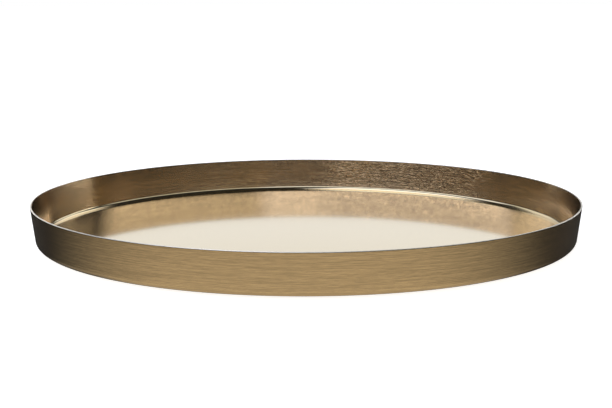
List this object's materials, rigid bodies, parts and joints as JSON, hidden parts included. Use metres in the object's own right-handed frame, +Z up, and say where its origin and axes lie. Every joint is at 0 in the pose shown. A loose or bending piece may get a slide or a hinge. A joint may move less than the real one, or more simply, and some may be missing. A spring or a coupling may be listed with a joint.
{
  "type": "round metal tray",
  "caption": "Shallow round brushed brass tray with a flat floor, a rounded corner and a plain leaning wall, standing on felt pads; holds and carries small desk things.",
  "frame": {"origin": "on the table, under the middle of the tray", "axes": "+Z up, along the axis that the tray was turned about; -Y towards the picture's camera"},
  "size_m": [0.36, 0.36, 0.027],
  "materials": {
    "brushed_brass": "satin, brushed round the wall",
    "felt": "pressed felt"
  },
  "bodies": {
    "root": {"tray_pan": "brushed_brass", "felt_pad_1": "felt", "felt_pad_2": "felt", "felt_pad_3": "felt", "felt_pad_4": "felt"}
  },
  "joints": []
}
